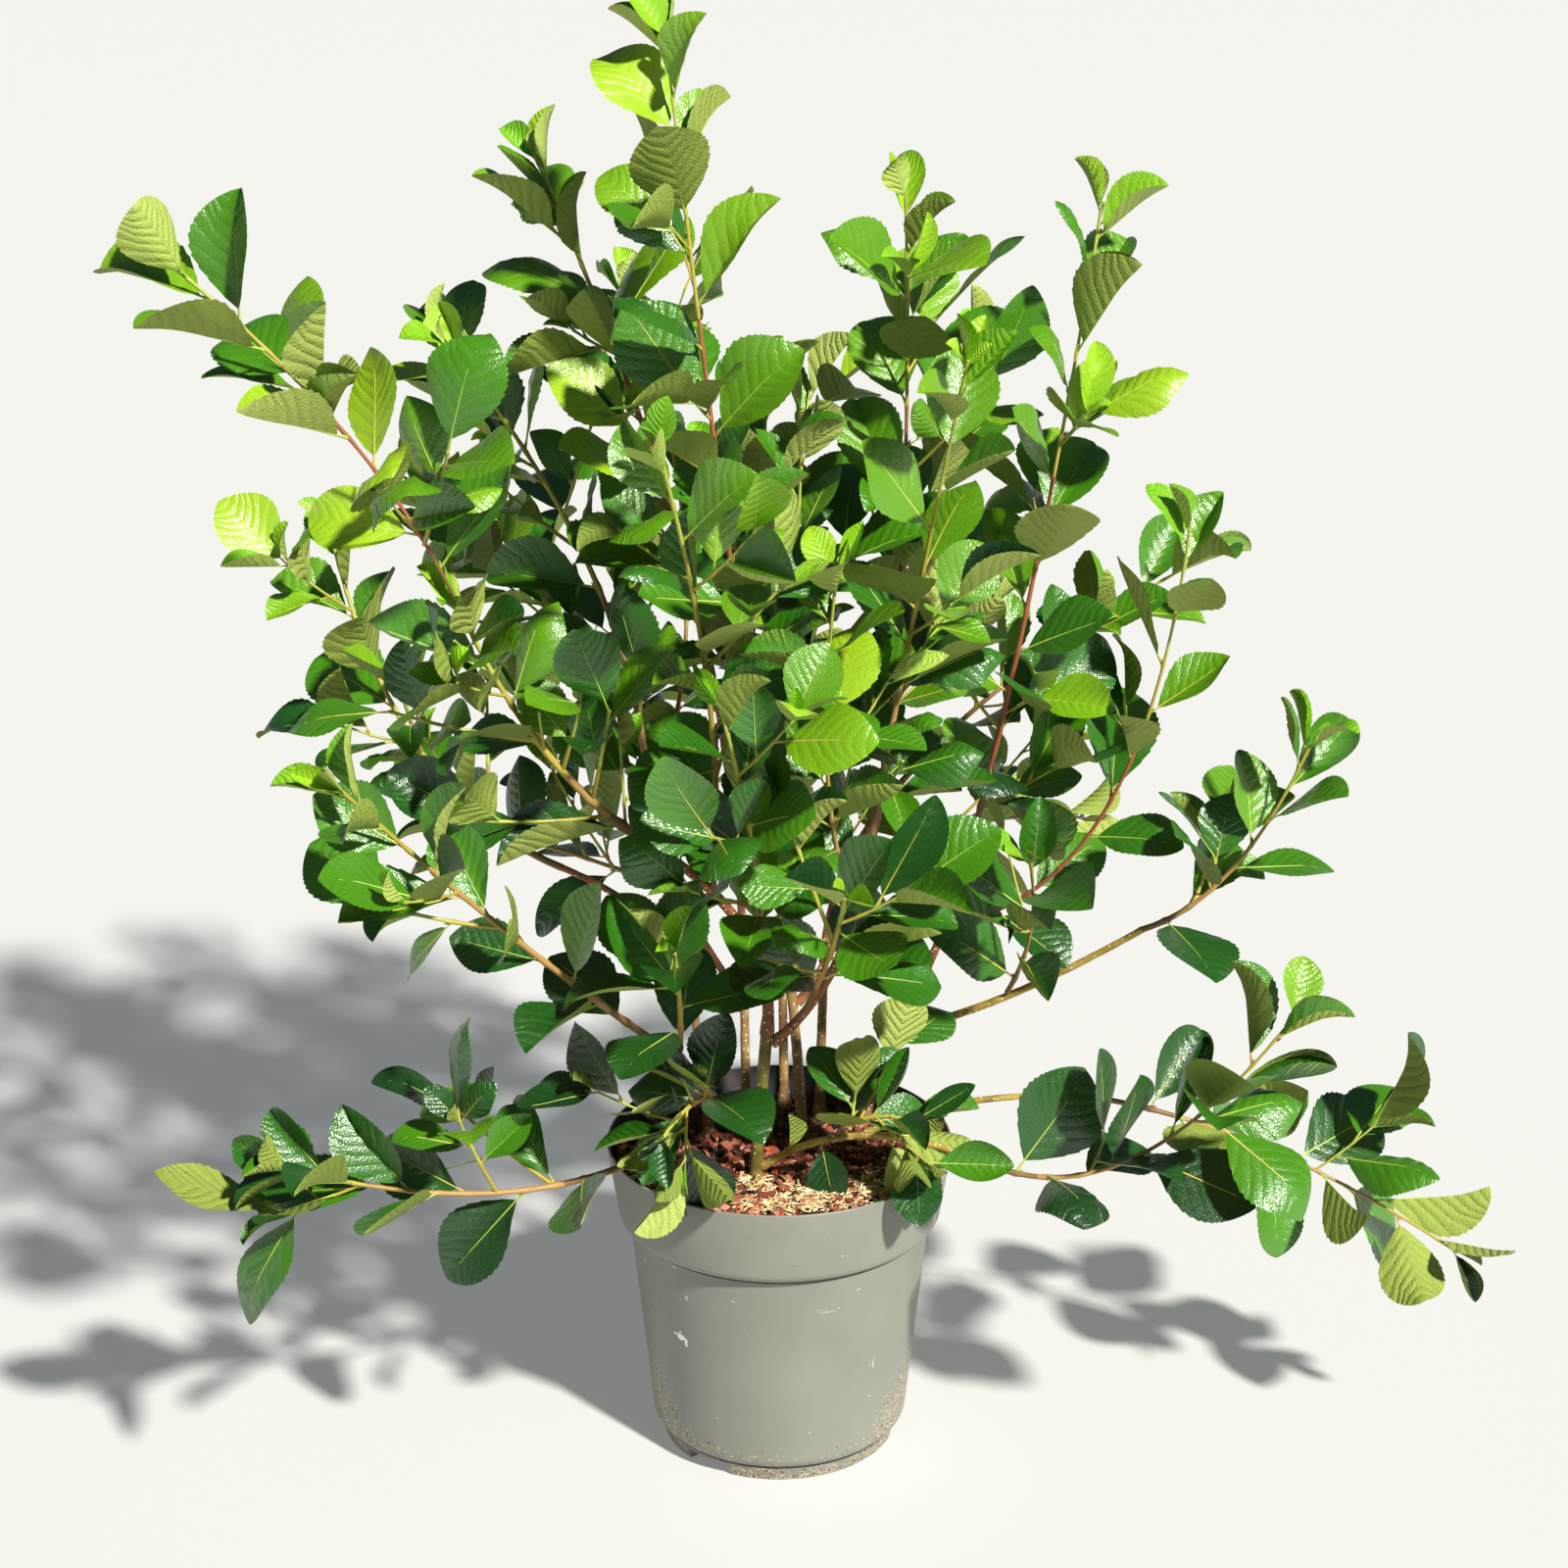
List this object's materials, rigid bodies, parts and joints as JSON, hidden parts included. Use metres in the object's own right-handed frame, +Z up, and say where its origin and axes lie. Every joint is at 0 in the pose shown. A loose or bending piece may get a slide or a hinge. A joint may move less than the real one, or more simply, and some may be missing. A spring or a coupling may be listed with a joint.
{
  "type": "potted black chokeberry shrub",
  "caption": "Leafy black chokeberry shrub with several stems, arching leafy shoots and low side branches, growing in a round grey nursery container.",
  "frame": {"origin": "centre of the container's flat underside", "axes": "+Z up along the container's axis, the shrub seen from the front along +Y, +X to its right"},
  "size_m": [1.1312, 0.7772, 1.2545],
  "materials": {
    "container": "satin moulded polypropylene",
    "potting_mix": "loose bark chips and peat",
    "bark": "smooth young bark with pale pores",
    "foliage": "glossy living leaves"
  },
  "bodies": {
    "root": {"container": "container", "potting_mix": "potting_mix", "stem_front": "bark", "stem_centre": "bark", "stem_right": "bark", "stem_left": "bark", "stem_left_back": "bark", "stem_centre_back": "bark", "stem_back": "bark", "bough_front_left": "bark", "bough_front_right": "bark", "bough_low_left": "bark", "bough_low_right": "bark", "bough_right_up": "bark", "bough_right_out": "bark", "bough_right_low": "bark", "bough_left_low": "bark", "bough_left_up": "bark", "bough_left_high": "bark", "bough_centre_left": "bark", "bough_centre_right": "bark", "bough_centre_high": "bark", "bough_back_left": "bark", "bough_back_centre": "bark", "bough_back_right": "bark", "foliage_left_rise": "foliage", "foliage_left_crest": "foliage", "foliage_left_reach": "foliage", "foliage_left_skirt": "foliage", "foliage_left_middle": "foliage", "foliage_left_high": "foliage", "foliage_top_left": "foliage", "foliage_top": "foliage", "foliage_front_high": "foliage", "foliage_front_middle": "foliage", "foliage_centre_top": "foliage", "foliage_centre_front": "foliage", "foliage_centre": "foliage", "foliage_top_right": "foliage", "foliage_right_front": "foliage", "foliage_right_crest": "foliage", "foliage_right_high": "foliage", "foliage_right_reach": "foliage", "foliage_right_low": "foliage", "foliage_right_skirt": "foliage", "foliage_pot_left": "foliage", "foliage_pot_right": "foliage", "foliage_front_centre": "foliage", "foliage_front_left": "foliage", "foliage_right_inner": "foliage", "foliage_back_left_low": "foliage", "foliage_back_left": "foliage", "foliage_back_left_high": "foliage", "foliage_back_centre": "foliage", "foliage_back_low": "foliage", "foliage_back_right_high": "foliage", "foliage_back_right": "foliage", "foliage_back_right_low": "foliage"}
  },
  "joints": []
}
